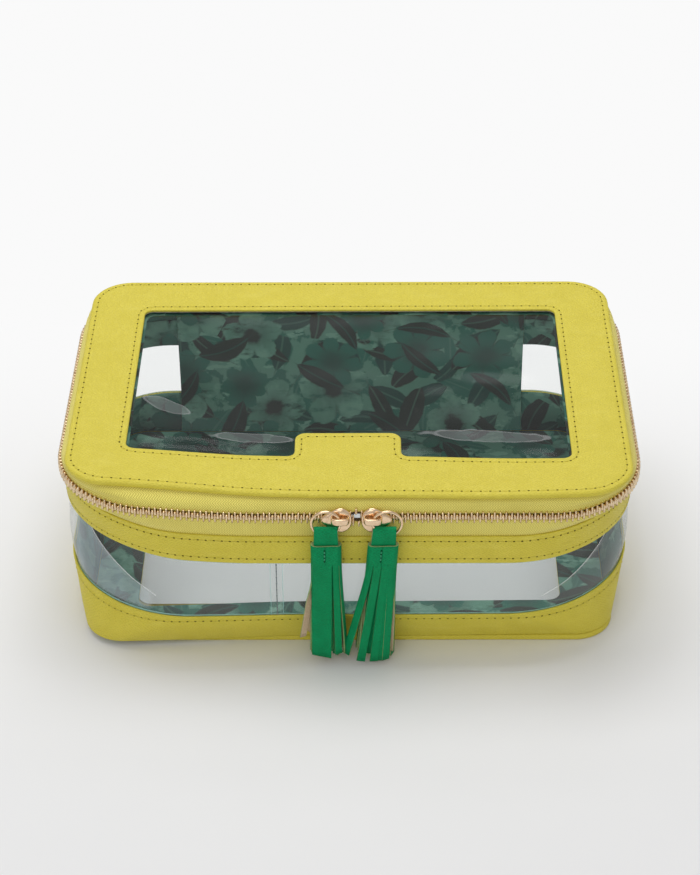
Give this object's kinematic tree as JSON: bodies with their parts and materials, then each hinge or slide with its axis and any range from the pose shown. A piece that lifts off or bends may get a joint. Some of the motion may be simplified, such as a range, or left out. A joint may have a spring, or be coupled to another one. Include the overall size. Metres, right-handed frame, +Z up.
{
  "type": "mahjong case",
  "caption": "Zip-round travel case with clear windows in lid, floor and walls, a print lining, a metal zip with paired sliders, and leather tassels on the pull rings.",
  "frame": {"origin": "centre of the underside, on the surface that the case stands on", "axes": "+Z up, -Y towards the front with the two sliders and tassels, +X to the viewer's right; the lid's hinge runs along X at the back"},
  "size_m": [0.2644, 0.1947, 0.0895],
  "materials": {
    "yellow_leather": "cross-grained, semi-matt",
    "green_leather": "fine-grained, semi-matt",
    "clear_sheet": "clear glossy vinyl",
    "print_lining": "printed satin",
    "board": "grey board",
    "yellow_tape": "twill tape",
    "rose_gold": "polished rose gold"
  },
  "bodies": {
    "base": {"lower_band": "yellow_leather", "lower_band_lining": "print_lining", "side_window": "clear_sheet", "side_window_overlap": "clear_sheet", "upper_band": "yellow_leather", "upper_band_lining": "print_lining", "bottom_frame": "yellow_leather", "bottom_stiffener": "board", "bottom_lining": "print_lining", "bottom_window": "clear_sheet", "bottom_seam_binding": "yellow_tape", "back_panel": "yellow_leather", "back_panel_board": "board", "back_panel_lining": "print_lining", "zipper_tape_lower": "yellow_tape", "zipper_teeth_lower": "rose_gold", "zipper_stop_left": "rose_gold", "zipper_stop_right": "rose_gold"},
    "lid": {"lid_frame": "yellow_leather", "lid_board": "board", "lid_window": "clear_sheet", "lid_lining": "print_lining", "lid_seam_binding": "yellow_tape", "zipper_tape_upper": "yellow_tape", "zipper_teeth_upper": "rose_gold", "hinge_strip": "yellow_leather"},
    "slider_left": {"slider_body_left": "rose_gold", "slider_cap_left": "rose_gold"},
    "ring_left": {"pull_ring_left": "rose_gold"},
    "tassel_left": {"tassel_strap_left": "green_leather", "tassel_skirt_left": "green_leather"},
    "slider_right": {"slider_body_right": "rose_gold", "slider_cap_right": "rose_gold"},
    "ring_right": {"pull_ring_right": "rose_gold"},
    "tassel_right": {"tassel_strap_right": "green_leather", "tassel_skirt_right": "green_leather"}
  },
  "joints": [
    {"name": "lid_hinge", "type": "hinge", "parent": "base", "child": "lid", "pos_m": [0, 0.093, 0.08], "axis": [-1, 0, 0], "range_deg": [0, 170], "deforming": ["hinge_strip"]},
    {"name": "slider_left_slide", "type": "slide", "parent": "base", "child": "slider_left", "axis": [-1, 0, 0], "range_m": [0, 0.07]},
    {"name": "ring_left_swing", "type": "hinge", "parent": "slider_left", "child": "ring_left", "pos_m": [-0.0032, -0.09755, 0.078], "axis": [0, 0, 1], "range_deg": [0, 90]},
    {"name": "tassel_left_swing", "type": "hinge", "parent": "ring_left", "child": "tassel_left", "pos_m": [-0.00955, -0.09755, 0.078], "axis": [0, 1, 0], "range_deg": [0, 90]},
    {"name": "slider_right_slide", "type": "slide", "parent": "base", "child": "slider_right", "axis": [1, 0, 0], "range_m": [0, 0.07]},
    {"name": "ring_right_swing", "type": "hinge", "parent": "slider_right", "child": "ring_right", "pos_m": [0.0112, -0.09755, 0.078], "axis": [0, 0, -1], "range_deg": [0, 90]},
    {"name": "tassel_right_swing", "type": "hinge", "parent": "ring_right", "child": "tassel_right", "pos_m": [0.01755, -0.09755, 0.078], "axis": [0, -1, 0], "range_deg": [0, 90]}
  ]
}
